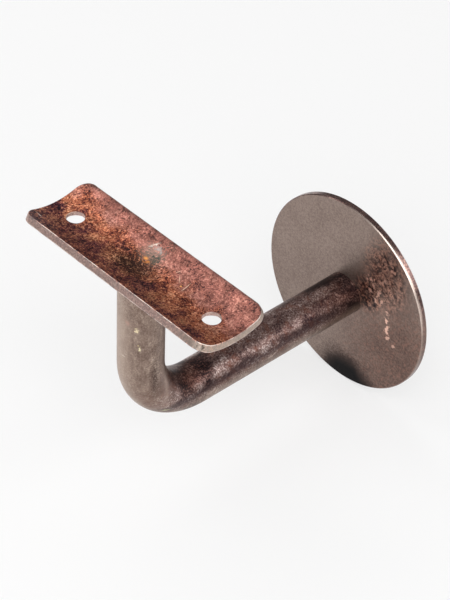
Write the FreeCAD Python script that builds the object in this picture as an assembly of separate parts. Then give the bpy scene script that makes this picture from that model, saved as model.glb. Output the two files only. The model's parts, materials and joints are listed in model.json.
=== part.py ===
"""Handrail bracket: a bent round bar between a wall disc and a rolled saddle.

Millimetres, +Z up. The wall is the plane Y = 0 and the bracket stands out along -Y.
The origin is the centre of the threaded hole's mouth, in the disc's back face.
The rail runs along X and rests in the saddle on top of the bar.
"""
import FreeCAD, Part
import math
import os

from FreeCAD import Vector

# ---- driving dimensions ----
disc_dia = 58.0          # wall disc
disc_t = 2.0
disc_chamfer = 0.25      # broken edges of the disc's rim, front and back

bar_dia = 12.0           # the arm is one round bar
reach = 75.0             # wall to the upright's axis
bend_r = 18.0            # centre-line radius of the bend

rail_dia = 42.4          # tube handrail that lies in the saddle
saddle_z = 47.5          # lowest line of the rail, above the arm's level axis
saddle_len = 66.5        # along the rail
saddle_arc = 21.0        # width round the curve, on the top face
saddle_t = 2.1
saddle_corner_r = 3.8
saddle_edge_r = 0.25     # rounding of the blanked edges

screw_end = 8.25         # middle of a screw hole to the plate's end
screw_hole_dia = 4.8
screw_land = 1.0         # straight part of the hole, under the rail
screw_sink_angle = 90.0  # countersink cone, opening downwards

plug_dia = 9.0           # hole in the saddle that is filled with weld metal
spot_dia = 12.0          # shallow ground spot over the plug
spot_depth = 0.4

bolt_hole_dia = 6.8      # tapping size of the M8 hanger bolt
bolt_hole_depth = 22.0
drill_point_angle = 118.0

back_bevel = 1.0         # bevel of the disc's bore, for the weld at the back

bore_clearance = 0.05    # bar to disc bore, all round
cope_clearance = 0.05    # bar's coped end to the saddle's underside
weld_clearance = 0.03    # weld metal to the faces that it fills

# ---- derived values ----
disc_r = disc_dia / 2
bar_r = bar_dia / 2
rail_r = rail_dia / 2
under_r = rail_r + saddle_t
plug_r = plug_dia / 2
screw_spacing = saddle_len - 2 * screw_end   # two screws, driven up into the rail
rail_axis = Vector(0, -reach, saddle_z + rail_r)
rail_from = Vector(-saddle_len, rail_axis.y, rail_axis.z)
X_AXIS = Vector(1, 0, 0)
Y_AXIS = Vector(0, 1, 0)
Z_AXIS = Vector(0, 0, 1)


def rail_cylinder(radius):
    """A long cylinder on the rail's axis."""
    return Part.makeCylinder(radius, 2 * saddle_len, rail_from, X_AXIS)


def plug_cylinder(radius):
    """An upright cylinder on the arm's axis, right through the saddle."""
    foot = Vector(0, -reach, saddle_z - 2 * saddle_t)
    return Part.makeCylinder(radius, 4 * saddle_t, foot, Z_AXIS)


def turned(points):
    """A solid turned about the Y axis from the (X, Y) corners of half its section."""
    corners = [Vector(x, y, 0) for x, y in points]
    section = Part.Face(Part.makePolygon(corners + corners[:1]))
    return section.revolve(Vector(0, 0, 0), Y_AXIS, 360)


# ---- wall disc: a turned plate with broken edges and a bevelled bore for the bar ----
def make_wall_disc():
    bore_r = bar_r + bore_clearance
    flat_r = disc_r - disc_chamfer
    return turned([
        (bore_r, -disc_t),
        (flat_r, -disc_t),
        (disc_r, -disc_t + disc_chamfer),
        (disc_r, -disc_chamfer),
        (flat_r, 0),
        (bore_r + back_bevel, 0),
        (bore_r, -back_bevel),
    ])


# ---- arm: one bar, bent upwards, tapped at the wall and coped to the saddle ----
def make_arm():
    turn = bend_r * math.sqrt(0.5)
    bend_start = Vector(0, -reach + bend_r, 0)
    bend_middle = Vector(0, -reach + bend_r - turn, bend_r - turn)
    bend_end = Vector(0, -reach, bend_r)
    path = Part.Wire([
        Part.makeLine(Vector(0, 0, 0), bend_start),
        Part.Arc(bend_start, bend_middle, bend_end).toShape(),
        Part.makeLine(bend_end, Vector(0, -reach, saddle_z)),
    ])
    outline = Part.Wire([Part.makeCircle(bar_r, Vector(0, 0, 0), Y_AXIS)])
    bar = path.makePipeShell([outline], True, False)
    bar = bar.cut(rail_cylinder(under_r + cope_clearance))

    hole_r = bolt_hole_dia / 2
    point_depth = hole_r / math.tan(math.radians(drill_point_angle / 2))
    hole = turned([
        (0, 0),
        (hole_r, 0),
        (hole_r, -bolt_hole_depth),
        (0, -bolt_hole_depth - point_depth),
    ])
    return bar.cut(hole)


# ---- saddle: a blanked plate with round corners, rolled to the rail ----
def ground_spot():
    """The wheel's cut over the plug: a torus that leaves a round, shallow dish."""
    half = spot_dia / 2
    along_r = half ** 2 / (2 * spot_depth)
    rise = half ** 2 / (2 * rail_r)
    across_r = half ** 2 / (2 * (spot_depth + rise))
    centre = Vector(0, -reach, saddle_z - spot_depth + along_r)
    return Part.makeTorus(along_r - across_r, across_r, centre, Y_AXIS)


def make_rail_saddle():
    half_angle = saddle_arc / 2 / rail_r
    side = Vector(0, math.sin(half_angle), -math.cos(half_angle))
    other = Vector(0, -side.y, side.z)
    low = Vector(0, 0, -1)
    start = rail_axis - X_AXIS * (saddle_len / 2)
    band = Part.Face(Part.Wire([
        Part.Arc(start + side * rail_r, start + low * rail_r, start + other * rail_r).toShape(),
        Part.makeLine(start + other * rail_r, start + other * under_r),
        Part.Arc(start + other * under_r, start + low * under_r, start + side * under_r).toShape(),
        Part.makeLine(start + side * under_r, start + side * rail_r),
    ]))
    plate = band.extrude(X_AXIS * saddle_len)
    corners = [edge for edge in plate.Edges if is_corner(edge)]
    plate = plate.makeFillet(saddle_corner_r, corners)
    rims = [edge for edge in plate.Edges if is_rim(edge)]
    plate = plate.makeFillet(saddle_edge_r, rims)

    for along in (-screw_spacing / 2, screw_spacing / 2):
        plate = plate.cut(screw_hole(along))
    return plate.cut(plug_cylinder(plug_r)).cut(ground_spot())


def is_corner(edge):
    """The plate's four short edges, through its thickness."""
    return abs(edge.Length - saddle_t) < 0.001


def is_rim(edge):
    """An edge of the plate's top or bottom outline."""
    gap = [math.hypot(v.Y - rail_axis.y, v.Z - rail_axis.z) for v in edge.Vertexes]
    on_top = all(abs(g - rail_r) < 0.001 for g in gap)
    on_under = all(abs(g - under_r) < 0.001 for g in gap)
    return on_top or on_under


def screw_hole(along):
    """A straight hole under the rail, opening into a countersink for a screw from below."""
    hole_r = screw_hole_dia / 2
    slope = math.tan(math.radians(screw_sink_angle / 2))
    sink_depth = saddle_t
    foot = Vector(along, -reach, saddle_z - screw_land - sink_depth)
    sink = Part.makeCone(hole_r + sink_depth * slope, hole_r, sink_depth, foot, Z_AXIS)
    hole = Part.makeCylinder(hole_r, 2 * saddle_t, Vector(along, -reach, foot.z + sink_depth), Z_AXIS)
    return sink.fuse(hole)


# ---- plug weld: joins the bar to the saddle from above, ground off with the dish ----
def make_plug_weld():
    plug = plug_cylinder(plug_r - weld_clearance).common(rail_cylinder(under_r))
    return plug.cut(rail_cylinder(rail_r)).cut(ground_spot())


# ---- back weld: fills the bevel round the bar, ground flush with the back face ----
def make_back_weld():
    inner_r = bar_r + weld_clearance
    outer_r = bar_r + bore_clearance + back_bevel - weld_clearance
    depth = outer_r - inner_r
    return turned([
        (inner_r, 0),
        (outer_r, 0),
        (inner_r, -depth),
    ])


os.makedirs("parts", exist_ok=True)
pieces = {
    "wall_disc": make_wall_disc(),
    "arm": make_arm(),
    "rail_saddle": make_rail_saddle(),
    "plug_weld": make_plug_weld(),
    "back_weld": make_back_weld(),
}
for name, shape in pieces.items():
    solid = shape.Solids[0]
    print(name, len(shape.Solids), shape.isValid(), round(solid.Volume, 1))
    solid.exportStep("parts/" + name + ".step")
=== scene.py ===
"""Handrail bracket in patinated steel: a wall disc, a bent round bar and a rolled saddle.

Metres, +Z up. The wall is the plane Y = 0, the bracket stands out along -Y,
and the rail runs along X in the saddle.
"""
import json
import math

import bpy
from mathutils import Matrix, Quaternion, Vector


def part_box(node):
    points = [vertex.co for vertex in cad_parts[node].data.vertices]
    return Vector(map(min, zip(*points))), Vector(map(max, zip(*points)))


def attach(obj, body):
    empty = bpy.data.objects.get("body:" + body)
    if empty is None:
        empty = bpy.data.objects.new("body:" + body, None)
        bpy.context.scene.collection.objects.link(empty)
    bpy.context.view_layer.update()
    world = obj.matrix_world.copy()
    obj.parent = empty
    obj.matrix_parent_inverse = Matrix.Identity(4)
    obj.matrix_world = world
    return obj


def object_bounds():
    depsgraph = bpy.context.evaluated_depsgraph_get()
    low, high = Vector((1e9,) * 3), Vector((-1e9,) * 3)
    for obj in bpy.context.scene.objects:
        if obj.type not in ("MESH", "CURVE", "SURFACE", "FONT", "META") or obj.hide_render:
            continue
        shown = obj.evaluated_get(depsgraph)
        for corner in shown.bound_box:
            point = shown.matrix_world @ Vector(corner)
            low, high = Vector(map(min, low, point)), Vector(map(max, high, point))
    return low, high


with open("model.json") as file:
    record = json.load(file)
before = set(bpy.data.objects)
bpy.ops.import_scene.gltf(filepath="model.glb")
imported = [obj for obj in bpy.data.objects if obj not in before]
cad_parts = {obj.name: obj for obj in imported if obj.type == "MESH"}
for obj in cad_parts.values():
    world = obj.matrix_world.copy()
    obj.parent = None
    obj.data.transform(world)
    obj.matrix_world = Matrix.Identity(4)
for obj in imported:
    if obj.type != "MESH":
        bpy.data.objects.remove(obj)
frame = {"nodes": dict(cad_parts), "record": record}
cad_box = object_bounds()
bpy.ops.object.select_all(action="DESELECT")


# ---- wall disc ----
# A 58 mm round blanked from 2 mm steel, its edges broken in the lathe, with the bar in its bore.
# The plate is dipped in a brown patina and waxed, which leaves it smooth with a soft, blurred shine.
# Beside the bar a dark reflection of the bar is painted on, with bright crumbs painted as reflections of
# its shine, and the foot is painted black as a dark reflection.

def linear(hex_colour):
    """The linear RGBA value of an sRGB hex colour."""
    shares = [int(hex_colour[i:i + 2], 16) / 255 for i in (0, 2, 4)]
    return tuple(s / 12.92 if s <= 0.04045 else ((s + 0.055) / 1.055) ** 2.4 for s in shares) + (1.0,)


def feed(tree, node, inputs):
    """Fills a node's inputs, each with a value, a socket, or a node whose first open output is linked."""
    for key, value in inputs.items():
        of_that_name = (each for each in node.inputs if each.enabled and each.name == key)
        socket = node.inputs[key] if isinstance(key, int) else next(of_that_name)
        if isinstance(value, bpy.types.Node):
            value = next(output for output in value.outputs if output.enabled)
        if isinstance(value, bpy.types.NodeSocket):
            tree.links.new(value, socket)
        else:
            socket.default_value = value


def add_node(tree, kind, inputs, stops=(), **settings):
    """Adds a node with its settings, its inputs and the stops of its colour ramp."""
    node = tree.nodes.new(kind)
    for name, value in settings.items():
        setattr(node, name, value)
    feed(tree, node, inputs)
    for number, (position, hex_colour) in enumerate(stops):
        ramp = node.color_ramp.elements
        stop = ramp[number] if number < 2 else ramp.new(position)
        stop.position, stop.color = position, linear(hex_colour)
    return node


def new_metal(name):
    """A material, its node tree, and the surface's own place in millimetres."""
    metal = bpy.data.materials.new(name)
    metal.use_nodes = True
    place = add_node(metal.node_tree, "ShaderNodeTexCoord", {})
    millimetres = add_node(metal.node_tree, "ShaderNodeVectorMath", {
        0: place.outputs["Object"], "Scale": 1000.0,
    }, operation="SCALE")
    return metal, metal.node_tree, millimetres


def from_middle(tree, place, centre, half_size, turn=(0.0, 0.0, 0.0)):
    """The distance from the middle of an egg-shaped patch, where 1 is the patch's edge."""
    inside = add_node(tree, "ShaderNodeMapping", {
        "Vector": place, "Location": centre, "Rotation": turn, "Scale": half_size,
    }, vector_type="TEXTURE")
    return add_node(tree, "ShaderNodeVectorMath", {0: inside}, operation="LENGTH")


def dress(node_name, finish):
    """Gives a piece of the bracket its finish."""
    materials = frame["nodes"][node_name].data.materials
    materials.clear()
    materials.append(finish)


# The disc's radius and the place of its front face, in millimetres, as all patterns are.
disc_r = 1000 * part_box("wall_disc")[1].x
front = 1000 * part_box("wall_disc")[0].y

# Waxed brown patina on smooth sheet: nearly one colour, with a grain finer than a millimetre
# and cloudy drifts a few millimetres wide.
disc_patina, tree, millimetres = new_metal("waxed_brown_patina_on_sheet")
grain = add_node(tree, "ShaderNodeTexNoise", {
    "Vector": millimetres, "Scale": 1 / 0.45, "Detail": 2.0, "Roughness": 0.6,
})
drift = add_node(tree, "ShaderNodeTexNoise", {
    "Vector": millimetres, "Scale": 1 / 9.0, "Detail": 3.0, "Roughness": 0.5,
})
mottle = add_node(tree, "ShaderNodeMix", {"Factor": 0.3, "A": grain.outputs[0], "B": drift.outputs[0]})
colour = add_node(tree, "ShaderNodeValToRGB", {0: mottle}, stops=[
    (0.34, "7f6d65"), (0.5, "907e75"), (0.66, "9e8c82"),
])

# The lower right side is redder, and darker as a painted reflection of the shade under the arm.
shaded_redder = from_middle(tree, millimetres, (26.0, 0.0, -14.0), (34.0, 30.0, 36.0))
shaded_redder = add_node(tree, "ShaderNodeMapRange", {
    "Value": shaded_redder, "From Min": 1.0, "From Max": 0.3, "To Max": 0.85,
}, interpolation_type="SMOOTHSTEP")
shaded_redder_colour = add_node(tree, "ShaderNodeValToRGB", {0: mottle}, stops=[
    (0.36, "503c36"), (0.5, "684f46"), (0.64, "7f655a"),
])
colour = add_node(tree, "ShaderNodeMix", {
    "Factor": shaded_redder, "A": colour, "B": shaded_redder_colour,
}, data_type="RGBA")

# Reddish flecks under a millimetre, on all but the upper left.
fleck = add_node(tree, "ShaderNodeTexNoise", {
    "Vector": millimetres, "Scale": 1 / 0.9, "Detail": 2.0, "Distortion": 0.6,
})
fleck = add_node(tree, "ShaderNodeMapRange", {
    "Value": fleck.outputs[0], "From Min": 0.52, "From Max": 0.66, "To Max": 0.75,
})
fleck = add_node(tree, "ShaderNodeMath", {0: fleck, 1: shaded_redder}, operation="MULTIPLY")
colour = add_node(tree, "ShaderNodeMix", {
    "Factor": fleck, "A": colour, "B": linear("90695c"),
}, data_type="RGBA")

# Painted dark reflection of the bar, above and beside it, speckled.
arm_dark_reflection = 0.0
lean = math.radians(-12.0)
for centre, half_size, strength in [
    ((8.5, front, 5.0), (7.5, 1.2, 8.0), 1.0),
    ((14.5, front, 14.5), (10.5, 1.2, 15.0), 0.8),
]:
    patch = from_middle(tree, millimetres, centre, half_size, (0.0, lean, 0.0))
    patch = add_node(tree, "ShaderNodeMapRange", {
        "Value": patch, "From Min": 1.0, "From Max": 0.3, "To Max": strength,
    }, interpolation_type="SMOOTHSTEP")
    arm_dark_reflection = add_node(tree, "ShaderNodeMath", {0: arm_dark_reflection, 1: patch}, operation="MAXIMUM")
dark_reflection_grain = add_node(tree, "ShaderNodeTexNoise", {
    "Vector": millimetres, "Scale": 1 / 1.6, "Detail": 3.0, "Roughness": 0.65,
})
dark_reflection_share = add_node(tree, "ShaderNodeMapRange", {
    "Value": dark_reflection_grain.outputs[0], "From Min": 0.36, "From Max": 0.6, "To Min": 1.2, "To Max": 0.6,
})
dark_reflection_share = add_node(tree, "ShaderNodeMath", {0: arm_dark_reflection, 1: dark_reflection_share}, operation="MULTIPLY")
reflection_speck = add_node(tree, "ShaderNodeTexNoise", {
    "Vector": millimetres, "Scale": 1 / 0.8, "Detail": 2.0, "Distortion": 0.5,
})
dark_reflection_colour = add_node(tree, "ShaderNodeValToRGB", {0: reflection_speck.outputs[0]}, stops=[
    (0.38, "20141a"), (0.46, "452d29"), (0.53, "6e4a3e"), (0.61, "bb8772"),
])
colour = add_node(tree, "ShaderNodeMix", {
    "Factor": dark_reflection_share, "A": colour, "B": dark_reflection_colour,
}, data_type="RGBA")

# Painted reflections of the bar's shine: bright crumbs, short winding lines half a millimetre wide, in two
# patches beside the bar.
winding = add_node(tree, "ShaderNodeTexNoise", {
    "Vector": millimetres, "Scale": 1 / 1.1, "Detail": 2.0, "Roughness": 0.6, "Distortion": 1.2,
})
winding = add_node(tree, "ShaderNodeMath", {0: winding.outputs[0], 1: 0.5}, operation="SUBTRACT")
winding = add_node(tree, "ShaderNodeMath", {0: winding}, operation="ABSOLUTE")
winding = add_node(tree, "ShaderNodeMapRange", {
    "Value": winding, "From Min": 0.05, "From Max": 0.012, "To Max": 0.75,
})
bright_reflection_patches = 0.0
for centre, half_size in [((13.5, front, 14.0), (9.5, 1.2, 14.0)), ((10.5, front, 8.0), (5.5, 1.2, 6.5))]:
    patch = from_middle(tree, millimetres, centre, half_size)
    patch = add_node(tree, "ShaderNodeMapRange", {
        "Value": patch, "From Min": 1.05, "From Max": 0.4,
    }, interpolation_type="SMOOTHSTEP")
    bright_reflection_patches = add_node(tree, "ShaderNodeMath", {0: bright_reflection_patches, 1: patch}, operation="MAXIMUM")
gaps = add_node(tree, "ShaderNodeTexNoise", {"Vector": millimetres, "Scale": 1 / 1.4, "Detail": 1.0})
gaps = add_node(tree, "ShaderNodeMapRange", {"Value": gaps.outputs[0], "From Min": 0.42, "From Max": 0.56})
reflected_crumbs = add_node(tree, "ShaderNodeMath", {0: winding, 1: bright_reflection_patches}, operation="MULTIPLY")
reflected_crumbs = add_node(tree, "ShaderNodeMath", {0: reflected_crumbs, 1: gaps}, operation="MULTIPLY")
colour = add_node(tree, "ShaderNodeMix", {
    "Factor": reflected_crumbs, "A": colour, "B": linear("e8b49e"),
}, data_type="RGBA")

# The largest painted reflection crumbs, right beside the bar and in a file of flakes lower down.
# Each is (X, Z, half width, half height, turn, strength), in millimetres and degrees.
for x, z, wide, high, turn, strength in [
    (8.8, 10.4, 1.5, 0.75, -15, 1.0),
    (10.2, 9.0, 0.7, 1.0, 0, 0.7),
    (9.3, 6.8, 1.0, 0.5, 30, 0.8),
    (12.3, 7.4, 0.5, 1.1, 20, 0.8),
    (11.3, 4.3, 0.4, 1.0, -25, 0.7),
    (13.6, 5.2, 0.4, 0.9, 15, 0.6),
    (16.0, 2.6, 0.5, 0.8, 0, 0.7),
    (16.0, 0.2, 0.5, 0.9, -20, 1.0),
    (16.6, -1.6, 0.5, 1.0, 15, 0.9),
    (16.4, -3.4, 0.6, 0.9, -10, 1.0),
    (16.9, -5.0, 0.5, 0.7, 20, 0.7),
    (19.2, -6.4, 0.5, 0.6, 0, 0.6),
    (14.2, 12.5, 1.2, 0.6, -30, 0.5),
    (17.0, 17.5, 1.0, 0.5, 35, 0.5),
]:
    turned = (0.0, math.radians(turn), 0.0)
    reflected_flake = from_middle(tree, millimetres, (x, front, z), (wide, 1.0, high), turned)
    reflected_flake = add_node(tree, "ShaderNodeMath", {
        0: reflection_speck.outputs[0], 1: -5.0, 2: reflected_flake,
    }, operation="MULTIPLY_ADD")
    reflected_flake = add_node(tree, "ShaderNodeMapRange", {
        "Value": reflected_flake, "From Min": -1.3, "From Max": -2.1, "To Max": strength,
    }, interpolation_type="SMOOTHSTEP")
    colour = add_node(tree, "ShaderNodeMix", {
        "Factor": reflected_flake, "A": colour, "B": linear("f0c2ae"),
    }, data_type="RGBA")

# Behind, where the plate lies against the wall, it is a flatter brown with faint rings from the
# lathe and a paler band round the weld.
parts = add_node(tree, "ShaderNodeSeparateXYZ", {0: millimetres})
from_axis = add_node(tree, "ShaderNodeVectorMath", {
    0: millimetres, 1: (1.0, 0.0, 1.0),
}, operation="MULTIPLY")
from_axis = add_node(tree, "ShaderNodeVectorMath", {0: from_axis}, operation="LENGTH")
rings = add_node(tree, "ShaderNodeCombineXYZ", {"X": from_axis})
rings = add_node(tree, "ShaderNodeTexNoise", {
    "Vector": rings, "Scale": 1 / 0.5, "Detail": 3.0, "Roughness": 0.6,
})
rings = add_node(tree, "ShaderNodeMix", {"Factor": 0.4, "A": mottle, "B": rings.outputs[0]})
by_weld = add_node(tree, "ShaderNodeMapRange", {
    "Value": from_axis, "From Min": 13.0, "From Max": 8.0, "To Max": 0.05,
}, interpolation_type="SMOOTHSTEP")
rings = add_node(tree, "ShaderNodeMath", {0: rings, 1: by_weld}, operation="ADD")
back_colour = add_node(tree, "ShaderNodeValToRGB", {0: rings}, stops=[
    (0.36, "54433b"), (0.47, "6f5c52"), (0.55, "837065"), (0.66, "a39184"),
])
behind = add_node(tree, "ShaderNodeMapRange", {
    "Value": parts.outputs["Y"], "From Min": -0.4, "From Max": -0.2, "To Max": 0.9,
})
colour = add_node(tree, "ShaderNodeMix", {
    "Factor": behind, "A": colour, "B": back_colour,
}, data_type="RGBA")

# The black foot: a soft painted dark reflection at the bottom of the disc, with a dark fringe.
foot_reflection_edge = add_node(tree, "ShaderNodeVectorMath", {0: drift.outputs[1], "Scale": 6.0}, operation="SCALE")
foot_reflection = add_node(tree, "ShaderNodeVectorMath", {0: millimetres, 1: foot_reflection_edge}, operation="ADD")
foot_reflection = from_middle(tree, foot_reflection, (7.0, 0.0, -25.5), (11.5, 6.0, 8.5))
foot_reflection_fringe = add_node(tree, "ShaderNodeMath", {0: grain.outputs[0], 1: 0.5, 2: foot_reflection}, operation="MULTIPLY_ADD")
foot_reflection_fringe = add_node(tree, "ShaderNodeMapRange", {
    "Value": foot_reflection_fringe, "From Min": 1.6, "From Max": 0.9, "To Max": 0.8,
}, interpolation_type="SMOOTHSTEP")
colour = add_node(tree, "ShaderNodeMix", {
    "Factor": foot_reflection_fringe, "A": colour, "B": linear("3c2823"),
}, data_type="RGBA")
foot_reflection = add_node(tree, "ShaderNodeMapRange", {
    "Value": foot_reflection, "From Min": 1.05, "From Max": 0.45,
}, interpolation_type="SMOOTHSTEP")
colour = add_node(tree, "ShaderNodeMix", {
    "Factor": foot_reflection, "A": colour, "B": linear("080507"),
}, data_type="RGBA")

# The rim is turned, so it is smoother than the face. It is black along the top with only a
# thin bare burr in front. Where it comes down the right, its front half carries a painted highlight
# and its back half a painted dark reflection; it is brown below.
rim = add_node(tree, "ShaderNodeMapRange", {
    "Value": from_axis, "From Min": disc_r - 0.28, "From Max": disc_r - 0.2,
})
rim_right = add_node(tree, "ShaderNodeMapRange", {
    "Value": parts.outputs["X"], "From Min": 15.0, "From Max": 8.0, "To Max": 0.95,
})
rim_dark_top_and_reflection = add_node(tree, "ShaderNodeMath", {
    0: drift.outputs[0], 1: 0.9, 2: parts.outputs["Y"],
}, operation="MULTIPLY_ADD")
rim_dark_top_and_reflection = add_node(tree, "ShaderNodeMath", {0: rim_dark_top_and_reflection, 1: rim_right}, operation="ADD")
rim_dark_top_and_reflection = add_node(tree, "ShaderNodeMapRange", {"Value": rim_dark_top_and_reflection, "From Min": -1.1, "From Max": -0.7})
rim_dark = add_node(tree, "ShaderNodeValToRGB", {0: mottle}, stops=[
    (0.38, "4a3636"), (0.48, "665050"), (0.56, "8a6b64"), (0.64, "b8968a"),
])
rim_highlight_and_dark_colour = add_node(tree, "ShaderNodeMix", {
    "Factor": rim_dark_top_and_reflection, "A": linear("cdb8ad"), "B": rim_dark,
}, data_type="RGBA")
rim_share = add_node(tree, "ShaderNodeMapRange", {
    "Value": grain.outputs[0], "From Min": 0.3, "From Max": 0.5, "To Min": 0.6, "To Max": 1.0,
})
rim_top = add_node(tree, "ShaderNodeMapRange", {
    "Value": parts.outputs["Z"], "From Min": 3.0, "From Max": 13.0, "To Min": 0.15,
})
for share in (rim, rim_top):
    rim_share = add_node(tree, "ShaderNodeMath", {0: rim_share, 1: share}, operation="MULTIPLY")
colour = add_node(tree, "ShaderNodeMix", {
    "Factor": rim_share, "A": colour, "B": rim_highlight_and_dark_colour,
}, data_type="RGBA")

# A thin burr along the upper front edge, bare and broken in places.
burr = add_node(tree, "ShaderNodeMapRange", {
    "Value": parts.outputs["Y"], "From Min": front + 0.32, "From Max": front + 0.22,
})
burr_edge = add_node(tree, "ShaderNodeMapRange", {
    "Value": from_axis, "From Min": disc_r - 0.3, "From Max": disc_r - 0.22,
})
burr_length = add_node(tree, "ShaderNodeMapRange", {
    "Value": drift.outputs[0], "From Min": 0.4, "From Max": 0.55, "To Min": 0.3, "To Max": 0.9,
})
burr_top = add_node(tree, "ShaderNodeMapRange", {
    "Value": parts.outputs["X"], "From Min": -2.0, "From Max": 6.0,
})
for share in (burr_edge, burr_length, burr_top, rim_top):
    burr = add_node(tree, "ShaderNodeMath", {0: burr, 1: share}, operation="MULTIPLY")
colour = add_node(tree, "ShaderNodeMix", {
    "Factor": burr, "A": colour, "B": linear("e6d5ca"),
}, data_type="RGBA")

sheen = add_node(tree, "ShaderNodeMapRange", {
    "Value": mottle, "From Min": 0.35, "From Max": 0.65, "To Min": 0.42, "To Max": 0.33,
})
sheen = add_node(tree, "ShaderNodeMix", {"Factor": rim, "A": sheen, "B": 0.26})
relief = add_node(tree, "ShaderNodeBump", {
    "Strength": 0.25, "Distance": 0.00004, "Height": grain.outputs[0],
})
metal_share = add_node(tree, "ShaderNodeMapRange", {"Value": foot_reflection, "To Min": 0.85, "To Max": 1.0})
feed(tree, tree.nodes["Principled BSDF"], {
    "Base Color": colour, "Metallic": metal_share, "Roughness": sheen, "Normal": relief,
})
dress("wall_disc", disc_patina)


# ---- arm ----
# One 12 mm round bar, sawn, bent cold to a right angle and coped to sit under the saddle.
# Drawn bar takes the patina unevenly: nearly black over the level part, and a lighter,
# greyer brown on the upright and underneath, with a soft shine along its length.

# Blackened drawn bar: soft purple-brown blotches 2 to 4 mm across under a fine copper speckle.
bar_patina, tree, millimetres = new_metal("blackened_copper_on_drawn_bar")
parts = add_node(tree, "ShaderNodeSeparateXYZ", {0: millimetres})
grain = add_node(tree, "ShaderNodeTexNoise", {
    "Vector": millimetres, "Scale": 1 / 0.45, "Detail": 2.0, "Roughness": 0.6,
})
along = add_node(tree, "ShaderNodeVectorMath", {0: millimetres, 1: (1.0, 0.5, 0.8)}, operation="MULTIPLY")
blotch = add_node(tree, "ShaderNodeTexNoise", {
    "Vector": along, "Scale": 1 / 3.2, "Detail": 4.0, "Roughness": 0.65, "Distortion": 0.3,
})
mottle = add_node(tree, "ShaderNodeMix", {"Factor": 0.5, "A": grain.outputs[0], "B": blotch.outputs[0]})
colour = add_node(tree, "ShaderNodeValToRGB", {0: mottle}, stops=[
    (0.37, "38262a"), (0.465, "66504c"), (0.54, "876f69"), (0.64, "c9b7b2"),
])

# Red-brown breaks through in patches on the level part.
breaks = add_node(tree, "ShaderNodeTexNoise", {
    "Vector": millimetres, "Scale": 1 / 3.5, "Detail": 5.0, "Roughness": 0.75, "Distortion": 0.3,
})
breaks = add_node(tree, "ShaderNodeMapRange", {
    "Value": breaks.outputs[0], "From Min": 0.5, "From Max": 0.62, "To Max": 0.6,
})
colour = add_node(tree, "ShaderNodeMix", {
    "Factor": breaks, "A": colour, "B": linear("75493b"),
}, data_type="RGBA")

# A painted shade: a darker line along the side of the bar.
side_shade_band = add_node(tree, "ShaderNodeMath", {
    0: blotch.outputs[0], 1: 5.0, 2: parts.outputs["Z"],
}, operation="MULTIPLY_ADD")
side_shade_band = add_node(tree, "ShaderNodeMath", {0: side_shade_band, 1: 4.4}, operation="SUBTRACT")
side_shade_band = add_node(tree, "ShaderNodeMath", {0: side_shade_band}, operation="ABSOLUTE")
side_shade_band = add_node(tree, "ShaderNodeMapRange", {
    "Value": side_shade_band, "From Min": 1.6, "From Max": 0.4, "To Max": 0.6,
}, interpolation_type="SMOOTHSTEP")
colour = add_node(tree, "ShaderNodeMix", {
    "Factor": side_shade_band, "A": colour, "B": linear("35262a"),
}, data_type="RGBA")

# Painted shade: nearly black in the last centimetre before the disc, and darkest in a few
# patches: above and below there and in the crook of the bend.
shade_by_disc = add_node(tree, "ShaderNodeMath", {
    0: blotch.outputs[0], 1: 14.0, 2: parts.outputs["Y"],
}, operation="MULTIPLY_ADD")
shade_by_disc = add_node(tree, "ShaderNodeMapRange", {
    "Value": shade_by_disc, "From Min": -9.0, "From Max": 5.0, "To Max": 0.85,
}, interpolation_type="SMOOTHSTEP")
shade_by_disc_colour = add_node(tree, "ShaderNodeValToRGB", {0: mottle}, stops=[
    (0.4, "140c11"), (0.47, "3b2a2c"), (0.54, "604b48"), (0.62, "a3857a"),
])
colour = add_node(tree, "ShaderNodeMix", {"Factor": shade_by_disc, "A": colour, "B": shade_by_disc_colour}, data_type="RGBA")
painted_shade_share = 0.0
for centre, half_size, strength in [
    ((-2.5, -10.0, 5.0), (4.0, 7.0, 3.0), 0.85),
    ((5.0, -4.0, -0.5), (3.5, 4.0, 4.5), 0.9),
    ((0.0, -60.0, 6.5), (7.0, 8.0, 5.0), 0.5),
    ((3.0, -56.0, 1.5), (4.5, 8.0, 4.0), 0.4),
]:
    patch = from_middle(tree, millimetres, centre, half_size)
    patch = add_node(tree, "ShaderNodeMath", {
        0: blotch.outputs[0], 1: 2.0, 2: patch,
    }, operation="MULTIPLY_ADD")
    patch = add_node(tree, "ShaderNodeMapRange", {
        "Value": patch, "From Min": 2.2, "From Max": 1.3, "To Max": strength,
    }, interpolation_type="SMOOTHSTEP")
    colour = add_node(tree, "ShaderNodeMix", {
        "Factor": patch, "A": colour, "B": linear("170f13"),
    }, data_type="RGBA")
    painted_shade_share = add_node(tree, "ShaderNodeMath", {0: painted_shade_share, 1: patch}, operation="MAXIMUM")

# In the crook of the bend the painted shade is speckled with the bar's own red-brown.
crook_shade = from_middle(tree, millimetres, (2.0, -61.0, 5.0), (6.0, 8.0, 4.0))
crook_shade = add_node(tree, "ShaderNodeMath", {0: blotch.outputs[0], 1: 2.0, 2: crook_shade}, operation="MULTIPLY_ADD")
crook_shade = add_node(tree, "ShaderNodeMapRange", {
    "Value": crook_shade, "From Min": 2.2, "From Max": 1.4, "To Max": 0.85,
}, interpolation_type="SMOOTHSTEP")
red_specks = add_node(tree, "ShaderNodeValToRGB", {0: mottle}, stops=[
    (0.4, "1a1316"), (0.47, "3f2a29"), (0.54, "6d463d"), (0.62, "a67a6c"),
])
colour = add_node(tree, "ShaderNodeMix", {"Factor": crook_shade, "A": colour, "B": red_specks}, data_type="RGBA")

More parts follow.
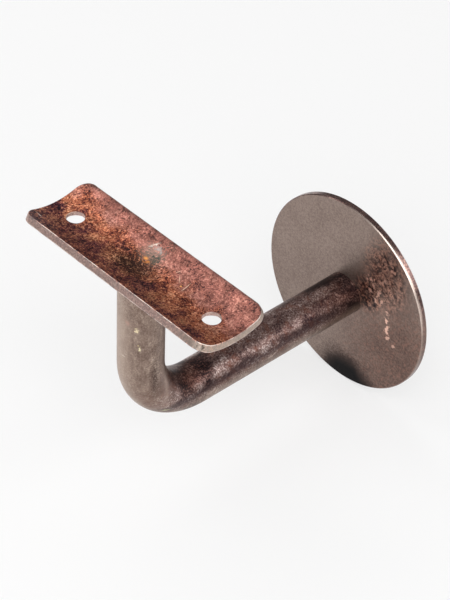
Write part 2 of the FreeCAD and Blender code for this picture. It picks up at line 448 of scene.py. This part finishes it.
# Lighter on the upright and along the underside of the level part, most of all on the
# outside of the upright and of the bend, in faint lines along the bar.
upright = add_node(tree, "ShaderNodeMapRange", {
    "Value": parts.outputs["Z"], "From Min": 7.0, "From Max": 20.0,
}, interpolation_type="SMOOTHSTEP")
underside = add_node(tree, "ShaderNodeMapRange", {
    "Value": parts.outputs["Z"], "From Min": 1.6, "From Max": -1.8, "To Max": 0.9,
}, interpolation_type="SMOOTHSTEP")
outer = add_node(tree, "ShaderNodeMapRange", {
    "Value": parts.outputs["Y"], "From Min": -66.0, "From Max": -78.0,
}, interpolation_type="SMOOTHSTEP")
lighter_zone = add_node(tree, "ShaderNodeMath", {0: upright, 1: underside}, operation="MAXIMUM")
lighter_zone = add_node(tree, "ShaderNodeMath", {0: lighter_zone, 1: outer}, operation="MAXIMUM")
streak = add_node(tree, "ShaderNodeVectorMath", {0: millimetres, 1: (1.0, 1.0, 0.3)}, operation="MULTIPLY")
streak = add_node(tree, "ShaderNodeTexNoise", {
    "Vector": streak, "Scale": 1 / 1.1, "Detail": 3.0, "Roughness": 0.6,
})
streak = add_node(tree, "ShaderNodeMix", {"Factor": 0.4, "A": mottle, "B": streak.outputs[0]})
lighter_zone_colour = add_node(tree, "ShaderNodeValToRGB", {0: streak}, stops=[
    (0.36, "6e5b51"), (0.47, "867267"), (0.55, "968376"), (0.66, "b7a394"),
])
left = add_node(tree, "ShaderNodeMapRange", {
    "Value": parts.outputs["X"], "From Min": 4.8, "From Max": -2.0, "To Max": 0.75,
}, interpolation_type="SMOOTHSTEP")
left = add_node(tree, "ShaderNodeMath", {0: left, 1: outer}, operation="MULTIPLY")
lighter_zone_colour = add_node(tree, "ShaderNodeMix", {
    "Factor": left, "A": lighter_zone_colour, "B": linear("cab5a6"),
}, data_type="RGBA")
lighter_zone_share = add_node(tree, "ShaderNodeMath", {0: lighter_zone, 1: 0.9}, operation="MULTIPLY")
colour = add_node(tree, "ShaderNodeMix", {
    "Factor": lighter_zone_share, "A": colour, "B": lighter_zone_colour,
}, data_type="RGBA")


def add_mark(tree, colour, grain, near, hex_colour, strength, softness):
    """Lays a mark over a colour. The grain breaks up its edge, which fades out over the softness."""
    raggedness = 3.0
    edge = 1.1 + raggedness / 2  # the grain is a half on average
    share = add_node(tree, "ShaderNodeMath", {0: grain, 1: raggedness, 2: near}, operation="MULTIPLY_ADD")
    share = add_node(tree, "ShaderNodeMapRange", {
        "Value": share, "From Min": edge, "From Max": edge - softness, "To Max": strength,
    }, interpolation_type="SMOOTHSTEP")
    mark = {"Factor": share, "A": colour, "B": linear(hex_colour)}
    return add_node(tree, "ShaderNodeMix", mark, data_type="RGBA")


# Marks on the upright and the bend: soft bands, a smudge, a painted shadow of the saddle at the
# top of the upright, then chips down to the brassy plating.
# Each is (centre, half size, colour, strength, softness), in millimetres.
for centre, half_size, hex_colour, strength, softness in [
    ((6.0, -75.5, 14.5), (3.0, 1.4, 11.0), "3f302b", 0.85, 1.5),
    ((5.8, -71.4, 12.0), (2.5, 1.4, 8.0), "bca99d", 0.7, 1.5),
    ((5.0, -62.5, -2.2), (2.0, 4.5, 1.2), "2c2320", 0.7, 1.3),
    ((4.0, -76.0, 5.0), (5.0, 8.0, 12.0), "9a7464", 0.35, 1.5),
    # Painted shadow of the saddle, darkening the top of the upright under it.
    ((1.0, -78.0, 41.0), (7.0, 5.0, 7.0), "6f5348", 0.45, 1.5),
    ((3.7, -79.7, 32.2), (0.6, 0.6, 0.9), "efddb8", 1.0, 0.8),
    ((4.3, -79.2, 26.4), (0.35, 0.35, 0.7), "e6dab4", 1.0, 0.7),
    ((4.0, -79.4, 27.4), (0.25, 0.25, 0.3), "cbb791", 0.7, 0.8),
    ((1.6, -80.8, 33.8), (0.8, 0.5, 1.0), "c79a8c", 0.55, 1.0),
    ((0.2, -81.0, 22.6), (0.9, 0.5, 0.2), "e6dacd", 0.6, 0.8),
    ((4.7, -71.0, 1.2), (0.8, 2.2, 0.5), "c3c29a", 0.7, 0.8),
]:
    near = from_middle(tree, millimetres, centre, half_size)
    colour = add_mark(tree, colour, grain, near, hex_colour, strength, softness)

sheen = add_node(tree, "ShaderNodeMapRange", {
    "Value": mottle, "From Min": 0.35, "From Max": 0.65, "To Min": 0.5, "To Max": 0.36,
})
sheen = add_node(tree, "ShaderNodeMix", {"Factor": painted_shade_share, "A": sheen, "B": 0.4})
relief = add_node(tree, "ShaderNodeBump", {"Strength": 0.5, "Distance": 0.00008, "Height": mottle})
feed(tree, tree.nodes["Principled BSDF"], {
    "Base Color": colour, "Metallic": 0.85, "Roughness": sheen, "Normal": relief,
})
dress("arm", bar_patina)


# ---- rail saddle ----
# A 66.5 x 21 mm plate of 2.1 mm steel, blanked with round corners and rolled to the 42.4 mm rail.
# Copper-plated, blackened and relieved by hand: orange-brown in the trough, pinker towards
# the wall, with dark pits, pale blanked edges and a bright burr along them.

# The middle of the trough, the rail's radius and a point on the rail's axis, in millimetres.
mounts = {mount["name"]: mount for mount in frame["record"]["mounts"]}
seat = [1000 * value for value in mounts["rail_seat"]["pos_m"]]
rail_r = mounts["rail_seat"]["dims"]["r_mm"]
rail_axis = (0.0, seat[1], seat[2] + rail_r)

# Relieved copper plate: crisp speckle just under a millimetre over clouds 4 mm across.
saddle_patina, tree, millimetres = new_metal("relieved_copper_plate")
parts = add_node(tree, "ShaderNodeSeparateXYZ", {0: millimetres})
grain = add_node(tree, "ShaderNodeTexNoise", {
    "Vector": millimetres, "Scale": 1 / 0.55, "Detail": 3.0, "Roughness": 0.75, "Distortion": 0.7,
})
cloud = add_node(tree, "ShaderNodeTexNoise", {
    "Vector": millimetres, "Scale": 1 / 4.5, "Detail": 4.0, "Roughness": 0.6,
})
mottle = add_node(tree, "ShaderNodeMix", {"Factor": 0.3, "A": grain.outputs[0], "B": cloud.outputs[0]})
orange = add_node(tree, "ShaderNodeValToRGB", {0: mottle}, stops=[
    (0.39, "2c141a"), (0.46, "8a4735"), (0.53, "c97855"), (0.61, "ffbd92"),
])
pink = add_node(tree, "ShaderNodeValToRGB", {0: mottle}, stops=[
    (0.37, "3b292f"), (0.46, "88554b"), (0.54, "ad7063"), (0.65, "e0a491"),
])
across = add_node(tree, "ShaderNodeMath", {0: parts.outputs["Y"], 1: seat[1]}, operation="SUBTRACT")
sideways = add_node(tree, "ShaderNodeMath", {
    0: parts.outputs["X"], 1: 0.12, 2: across,
}, operation="MULTIPLY_ADD")
wander = add_node(tree, "ShaderNodeMath", {
    0: cloud.outputs[0], 1: 20.0, 2: sideways,
}, operation="MULTIPLY_ADD")
pink_share = add_node(tree, "ShaderNodeMapRange", {
    "Value": wander, "From Min": 9.0, "From Max": 16.5,
}, interpolation_type="SMOOTHSTEP")
colour = add_node(tree, "ShaderNodeMix", {"Factor": pink_share, "A": orange, "B": pink}, data_type="RGBA")
# The side away from the wall is dark plum: a painted dark reflection, keeping the speckle.
near_side_reflection_share = add_node(tree, "ShaderNodeMapRange", {
    "Value": wander, "From Min": 9.5, "From Max": 4.5, "To Max": 0.92,
}, interpolation_type="SMOOTHSTEP")
near_side_reflection_colour = add_node(tree, "ShaderNodeValToRGB", {0: mottle}, stops=[
    (0.41, "210e1b"), (0.48, "522a3c"), (0.54, "a45949"), (0.61, "ffba90"),
])
colour = add_node(tree, "ShaderNodeMix", {"Factor": near_side_reflection_share, "A": colour, "B": near_side_reflection_colour}, data_type="RGBA")

# Patches 3 mm across where more or less of the black was wiped off.
wiping = add_node(tree, "ShaderNodeTexNoise", {
    "Vector": millimetres, "Scale": 1 / 3.0, "Detail": 3.0, "Roughness": 0.6,
})
wiping = add_node(tree, "ShaderNodeMapRange", {
    "Value": wiping.outputs[0], "From Min": 0.35, "From Max": 0.65, "To Min": 0.72, "To Max": 1.25,
})
wiping = add_node(tree, "ShaderNodeCombineColor", {0: wiping, 1: wiping, 2: wiping})
colour = add_node(tree, "ShaderNodeMix", {
    "Factor": 1.0, "A": colour, "B": wiping,
}, data_type="RGBA", blend_type="MULTIPLY")

# The edge nearest the wall stays blue-black.
wall_edge = add_node(tree, "ShaderNodeMath", {0: mottle, 1: 5.0, 2: across}, operation="MULTIPLY_ADD")
wall_edge = add_node(tree, "ShaderNodeMapRange", {
    "Value": wall_edge, "From Min": 11.6, "From Max": 12.8, "To Max": 0.6,
})
colour = add_node(tree, "ShaderNodeMix", {
    "Factor": wall_edge, "A": colour, "B": linear("46393c"),
}, data_type="RGBA")

# Bright copper specks on the side away from the wall: painted glints in the dark reflection there.
glint_specks = add_node(tree, "ShaderNodeTexNoise", {
    "Vector": millimetres, "Scale": 1 / 0.9, "Detail": 2.0, "Roughness": 0.6,
})
glint_specks = add_node(tree, "ShaderNodeMapRange", {
    "Value": glint_specks.outputs[0], "From Min": 0.54, "From Max": 0.64, "To Max": 0.45,
})
outer_side = add_node(tree, "ShaderNodeMapRange", {"Value": across, "From Min": -1.0, "From Max": -6.0})
glint_specks = add_node(tree, "ShaderNodeMath", {0: glint_specks, 1: outer_side}, operation="MULTIPLY")
colour = add_node(tree, "ShaderNodeMix", {
    "Factor": glint_specks, "A": colour, "B": linear("f5a585"),
}, data_type="RGBA")

# Dark pits, and the near-black specks that gather along the wall side.
pits = add_node(tree, "ShaderNodeTexNoise", {
    "Vector": millimetres, "Scale": 1 / 1.3, "Detail": 3.0, "Roughness": 0.7,
})
wall_side = add_node(tree, "ShaderNodeMapRange", {
    "Value": across, "From Min": 5.0, "From Max": 10.5, "To Min": 0.645, "To Max": 0.56,
})
pits = add_node(tree, "ShaderNodeMath", {0: pits.outputs[0], 1: wall_side}, operation="SUBTRACT")
pits = add_node(tree, "ShaderNodeMapRange", {
    "Value": pits, "From Min": 0.0, "From Max": 0.04, "To Max": 0.8,
})
colour = add_node(tree, "ShaderNodeMix", {
    "Factor": pits, "A": colour, "B": linear("3f2a26"),
}, data_type="RGBA")

# The pale blanked edges. Depth below the rail's surface tells the faces apart: it is 0 on the
# trough and 2.1 mm underneath.
depth = add_node(tree, "ShaderNodeVectorMath", {0: millimetres, 1: rail_axis}, operation="SUBTRACT")
depth = add_node(tree, "ShaderNodeVectorMath", {0: depth, 1: (0.0, 1.0, 1.0)}, operation="MULTIPLY")
depth = add_node(tree, "ShaderNodeVectorMath", {0: depth}, operation="LENGTH")
depth = add_node(tree, "ShaderNodeMath", {0: depth, 1: rail_r}, operation="SUBTRACT")
off_spot = add_node(tree, "ShaderNodeVectorMath", {0: millimetres, 1: seat}, operation="DISTANCE")
off_spot = add_node(tree, "ShaderNodeMath", {0: off_spot, 1: 7.0}, operation="GREATER_THAN")
blanked = add_node(tree, "ShaderNodeMapRange", {
    "Value": depth, "From Min": 0.2, "From Max": 0.3, "To Max": 0.8,
})
under = add_node(tree, "ShaderNodeMapRange", {"Value": depth, "From Min": 2.0, "From Max": 1.8})
for share in (under, off_spot):
    blanked = add_node(tree, "ShaderNodeMath", {0: blanked, 1: share}, operation="MULTIPLY")
edge_colour = add_node(tree, "ShaderNodeValToRGB", {0: grain.outputs[0]}, stops=[
    (0.3, "a98c86"), (0.5, "c5aaa2"), (0.7, "dccac0"),
])
greyer_end = add_node(tree, "ShaderNodeMapRange", {
    "Value": parts.outputs["X"], "From Min": 23.0, "From Max": 31.0, "To Max": 0.75,
})
edge_colour = add_node(tree, "ShaderNodeMix", {
    "Factor": greyer_end, "A": edge_colour, "B": linear("aea698"),
}, data_type="RGBA")
colour = add_node(tree, "ShaderNodeMix", {
    "Factor": blanked, "A": colour, "B": edge_colour,
}, data_type="RGBA")

# The burr: a bright line a fifth of a millimetre wide on both edges of the blanked sides,
# broken in places.
burr = add_node(tree, "ShaderNodeMath", {0: depth, 1: 0.14}, operation="SUBTRACT")
burr = add_node(tree, "ShaderNodeMath", {0: burr}, operation="ABSOLUTE")
burr = add_node(tree, "ShaderNodeMapRange", {"Value": burr, "From Min": 0.11, "From Max": 0.06})
foot_line = add_node(tree, "ShaderNodeMath", {0: depth, 1: 1.94}, operation="SUBTRACT")
foot_line = add_node(tree, "ShaderNodeMath", {0: foot_line}, operation="ABSOLUTE")
foot_line = add_node(tree, "ShaderNodeMapRange", {
    "Value": foot_line, "From Min": 0.13, "From Max": 0.07, "To Max": 0.9,
})
burr = add_node(tree, "ShaderNodeMath", {0: burr, 1: foot_line}, operation="MAXIMUM")
burr_length = add_node(tree, "ShaderNodeMapRange", {
    "Value": cloud.outputs[0], "From Min": 0.42, "From Max": 0.56, "To Min": 0.25, "To Max": 0.95,
})
for share in (burr_length, off_spot):
    burr = add_node(tree, "ShaderNodeMath", {0: burr, 1: share}, operation="MULTIPLY")
colour = add_node(tree, "ShaderNodeMix", {
    "Factor": burr, "A": colour, "B": linear("f3e6dc"),
}, data_type="RGBA")

# Marks on the top face: the smudges round the ground spot, then scratches.
# Each is (centre, half size, turn about the upright, colour, strength), in millimetres and degrees.
for centre, half_size, turn, hex_colour, strength in [
    ((-2.0, -75.8, 47.5), (9.0, 6.5, 1.8), 10, "30211d", 0.9),
    ((-1.5, -69.6, 47.9), (4.6, 4.0, 1.5), -15, "8f8378", 0.6),
    ((0.4, -71.2, 47.6), (1.9, 2.4, 1.5), -20, "38473f", 0.75),
    ((-1.9, -72.1, 47.5), (0.9, 0.6, 1.5), 8, "f0a256", 0.9),
    ((-0.7, -72.6, 47.5), (0.7, 0.5, 1.5), 30, "dd8b45", 0.8),
    ((-1.5, -73.2, 47.5), (0.9, 0.25, 1.5), -10, "c47c40", 0.6),
    ((-1.6, -68.3, 48.0), (2.2, 1.0, 1.5), -10, "cdbfba", 0.6),
    ((-3.2, -67.9, 48.1), (1.5, 0.35, 1.5), 55, "f3e2d2", 0.8),
    ((0.6, -65.9, 48.6), (3.2, 0.9, 1.5), -4, "3f4238", 0.7),
    ((9.6, -71.4, 47.8), (1.5, 0.14, 1.5), -43, "f0c9ae", 0.8),
    ((7.6, -70.1, 48.0), (0.8, 0.13, 1.5), 65, "f0c9ae", 0.8),
    ((12.8, -72.3, 47.7), (0.14, 2.0, 1.5), 5, "f2cfb5", 0.85),
    ((11.6, -72.8, 47.6), (0.3, 0.3, 1.5), 0, "f7b45c", 0.95),
    ((-30.7, -82.0, 48.7), (1.8, 0.22, 1.5), -6, "ffe9d8", 1.0),
    ((32.3, -84.4, 48.8), (0.5, 0.5, 1.6), 0, "382c26", 0.75),
    ((31.2, -85.2, 48.8), (0.3, 0.4, 1.4), 0, "4a3c34", 0.6),
]:
    near = from_middle(tree, millimetres, centre, half_size, (0.0, 0.0, math.radians(turn)))
    colour = add_mark(tree, colour, grain, near, hex_colour, strength, 0.9)

sheen = add_node(tree, "ShaderNodeMapRange", {
    "Value": mottle, "From Min": 0.35, "From Max": 0.65, "To Min": 0.48, "To Max": 0.34,
})
relief = add_node(tree, "ShaderNodeBump", {"Strength": 0.7, "Distance": 0.0002, "Height": mottle})
feed(tree, tree.nodes["Principled BSDF"], {
    "Base Color": colour, "Metallic": 0.85, "Roughness": sheen, "Normal": relief,
})
dress("rail_saddle", saddle_patina)


# ---- plug weld ----
# The saddle is fixed to the bar by a weld through a 9 mm hole, ground flush and then hollowed
# a little by the wheel. It was plated and relieved with the saddle, so the same mottling runs
# over it.
weld_patina = saddle_patina.copy()
weld_patina.name = "relieved_copper_on_ground_weld"
dress("plug_weld", weld_patina)


# ---- back weld ----
# A ring of weld fills the bevel round the bar behind the disc and is faced flat in the lathe.
# It is bare, grey steel with fine rings from the tool, a little browned by the wax.
faced_weld, tree, millimetres = new_metal("faced_bare_weld")
flat = add_node(tree, "ShaderNodeVectorMath", {0: millimetres, 1: (1.0, 0.0, 1.0)}, operation="MULTIPLY")
radius = add_node(tree, "ShaderNodeVectorMath", {0: flat}, operation="LENGTH")
grain = add_node(tree, "ShaderNodeTexNoise", {"Vector": millimetres, "Scale": 1 / 0.6, "Detail": 3.0})
ring_place = add_node(tree, "ShaderNodeCombineXYZ", {"X": radius})
rings = add_node(tree, "ShaderNodeTexNoise", {"Vector": ring_place, "Scale": 1 / 0.12, "Detail": 2.0})
mottle = add_node(tree, "ShaderNodeMix", {"Factor": 0.5, "A": grain.outputs[0], "B": rings.outputs[0]})
colour = add_node(tree, "ShaderNodeValToRGB", {0: mottle}, stops=[
    (0.38, "7b6a60"), (0.55, "a3968c"), (0.66, "bdb3aa"),
])
relief = add_node(tree, "ShaderNodeBump", {
    "Strength": 0.5, "Distance": 0.00005, "Height": rings.outputs[0],
})
feed(tree, tree.nodes["Principled BSDF"], {
    "Base Color": colour, "Metallic": 1.0, "Roughness": 0.35, "Normal": relief,
})
dress("back_weld", faced_weld)


# ---- hanger bolt thread ----
# The hole in the back of the bar is tapped M8 for the bolt that comes out of the wall. One cut
# ridge winds down it, 1.25 mm to a turn, and stands a quarter of a millimetre in from the wall.
# It starts a turn inside the mouth and stops short of the bottom, as a tap leaves it.
hole_r = mounts["wall_thread"]["dims"]["r_mm"] / 1000
hole_depth = mounts["wall_thread"]["dims"]["length_mm"] / 1000
pitch = 0.00125
turns = int(hole_depth / pitch) - 2
ridge_r = 0.0005
first_turn = -0.0012
bpy.ops.mesh.primitive_circle_add(vertices=3, radius=ridge_r, location=(0.0, 0.0, 0.0))
thread = bpy.context.object
thread.name = "hanger_bolt_thread"
bpy.ops.object.mode_set(mode="EDIT")
bpy.ops.mesh.select_all(action="SELECT")
bpy.ops.transform.rotate(value=math.radians(-90.0), orient_axis="Z", center_override=(0.0, 0.0, 0.0))
bpy.ops.transform.resize(value=(0.5, 1.0, 1.0), center_override=(0.0, 0.0, 0.0))
bpy.ops.transform.translate(value=(hole_r, first_turn, 0.0))
bpy.ops.object.mode_set(mode="OBJECT")
winding_down = thread.modifiers.new("winding_down", "SCREW")
winding_down.axis = "Y"
winding_down.angle = math.radians(360.0)
winding_down.screw_offset = -pitch
winding_down.iterations = turns
winding_down.steps = winding_down.render_steps = 40
winding_down.use_smooth_shade = False
bpy.ops.object.modifier_apply(modifier="winding_down")
bpy.ops.object.mode_set(mode="EDIT")
bpy.ops.mesh.select_mode(type="EDGE")
bpy.ops.mesh.select_all(action="DESELECT")
bpy.ops.mesh.select_non_manifold()
bpy.ops.mesh.fill()
bpy.ops.mesh.select_all(action="SELECT")
bpy.ops.mesh.normals_make_consistent(inside=False)
bpy.ops.object.mode_set(mode="OBJECT")
bpy.ops.object.shade_smooth_by_angle(angle=math.radians(35.0))

# Cut steel: bright, with fine chatter across the flanks and brown cutting oil dried in the roots.
cut_steel, tree, millimetres = new_metal("cut_steel_thread")
root_r = 1000 * hole_r
grain = add_node(tree, "ShaderNodeTexNoise", {"Vector": millimetres, "Scale": 1 / 0.3, "Detail": 2.0})
from_axis = add_node(tree, "ShaderNodeVectorMath", {
    0: millimetres, 1: (1.0, 0.0, 1.0),
}, operation="MULTIPLY")
from_axis = add_node(tree, "ShaderNodeVectorMath", {0: from_axis}, operation="LENGTH")
root = add_node(tree, "ShaderNodeMapRange", {
    "Value": from_axis, "From Min": root_r - 0.2, "From Max": root_r,
})
root = add_node(tree, "ShaderNodeMath", {0: grain.outputs[0], 1: 0.6, 2: root}, operation="MULTIPLY_ADD")
colour = add_node(tree, "ShaderNodeValToRGB", {0: root}, stops=[
    (0.35, "c3bcb4"), (0.7, "93877d"), (1.0, "4a3a30"),
])
sheen = add_node(tree, "ShaderNodeMapRange", {
    "Value": grain.outputs[0], "From Min": 0.35, "From Max": 0.65, "To Min": 0.3, "To Max": 0.45,
})
relief = add_node(tree, "ShaderNodeBump", {
    "Strength": 0.4, "Distance": 0.00004, "Height": grain.outputs[0],
})
feed(tree, tree.nodes["Principled BSDF"], {
    "Base Color": colour, "Metallic": 1.0, "Roughness": sheen, "Normal": relief,
})
thread.data.materials.append(cut_steel)
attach(thread, "root")


# ---- floor ----
# A sheet of plain white card that the bracket stands on. It shows white to the camera and in
# the metal's reflections, and still takes the bracket's soft shadow. It is clear from below.
bpy.ops.mesh.primitive_plane_add(size=8.0, location=(0.0, 0.0, cad_box[0].z))
floor = bpy.context.object
floor.name = "floor"
white_card = bpy.data.materials.new("white_card")
white_card.use_nodes = True
tree = white_card.node_tree
tree.nodes.remove(tree.nodes["Principled BSDF"])
matt = add_node(tree, "ShaderNodeBsdfDiffuse", {"Color": (0.9, 0.9, 0.9, 1.0)})
white = add_node(tree, "ShaderNodeEmission", {"Strength": 1.0})
ray = add_node(tree, "ShaderNodeLightPath", {})
seen = add_node(tree, "ShaderNodeMath", {
    0: ray.outputs["Is Camera Ray"], 1: ray.outputs["Is Glossy Ray"],
}, operation="ADD")
seen = add_node(tree, "ShaderNodeMath", {
    0: seen, 1: ray.outputs["Is Transmission Ray"],
}, operation="ADD", use_clamp=True)
share = add_node(tree, "ShaderNodeMath", {0: seen, 1: 0.6}, operation="MULTIPLY")
card = add_node(tree, "ShaderNodeMixShader", {0: share, 1: matt, 2: white})
side = add_node(tree, "ShaderNodeNewGeometry", {})
clear = add_node(tree, "ShaderNodeBsdfTransparent", {})
card = add_node(tree, "ShaderNodeMixShader", {0: side.outputs["Backfacing"], 1: card, 2: clear})
tree.links.new(card.outputs[0], tree.nodes["Material Output"].inputs["Surface"])
floor.data.materials.append(white_card)


# ---- studio light ----
# Soft boxes: one behind on the right, which draws the streak along the arm, a wide one over the
# saddle on the left, and a plain fill at the camera's side. The room above is a dim, even grey.
middle = (cad_box[0] + cad_box[1]) / 2
for name, direction, away, width, brightness in [
    ("right_back_box", (0.70, 0.53, 0.48), 1.2, 0.62, 2.8),
    ("overhead_box", (-0.64, -0.05, 0.72), 1.2, 1.15, 1.6),
    ("camera_side_box", (0.50, -0.62, 0.60), 1.3, 1.5, 2.6),
]:
    toward = Vector(direction).normalized()
    box = bpy.data.lights.new(name, "AREA")
    box.shape = "SQUARE"
    box.size = width
    box.energy = brightness * math.pi * width ** 2
    lamp = bpy.data.objects.new(name, box)
    lamp.location = middle + toward * away
    lamp.rotation_euler = toward.to_track_quat("Z", "Y").to_euler()
    bpy.context.scene.collection.objects.link(lamp)

room = bpy.data.worlds.new("dim_grey_room")
room.use_nodes = True
tree = room.node_tree
around = add_node(tree, "ShaderNodeTexCoord", {})
height = add_node(tree, "ShaderNodeSeparateXYZ", {0: around.outputs["Generated"]})
level = add_node(tree, "ShaderNodeMapRange", {
    "Value": height.outputs["Z"], "From Min": 0.0, "From Max": 0.7, "To Min": 0.1, "To Max": 0.22,
})
tree.nodes["Background"].inputs["Color"].default_value = (1.0, 1.0, 1.0, 1.0)
tree.links.new(level.outputs[0], tree.nodes["Background"].inputs["Strength"])
bpy.context.scene.world = room


# ---- camera ----
# A long lens from the front right, looking 40 degrees down on the bracket.
azimuth, elevation, roll = math.radians(45.98), math.radians(40.09), math.radians(2.53)
distance = 0.60201
aim_offset = Vector((-0.01744, 0.01307, -0.00918))
level_part = math.cos(elevation)
back = Vector((math.sin(azimuth) * level_part, -math.cos(azimuth) * level_part, math.sin(elevation)))
camera_data = bpy.data.cameras.new("camera")
camera_data.sensor_width = 36.0
camera_data.lens = 134.55
camera_data.clip_start, camera_data.clip_end = 0.01, 20.0
camera = bpy.data.objects.new("camera", camera_data)
camera.location = middle + aim_offset + back * distance
camera.rotation_mode = "QUATERNION"
camera.rotation_quaternion = back.to_track_quat("Z", "Y") @ Quaternion((0.0, 0.0, 1.0), roll)
bpy.context.scene.collection.objects.link(camera)
bpy.context.scene.camera = camera
bpy.context.scene.view_settings.view_transform = "Standard"
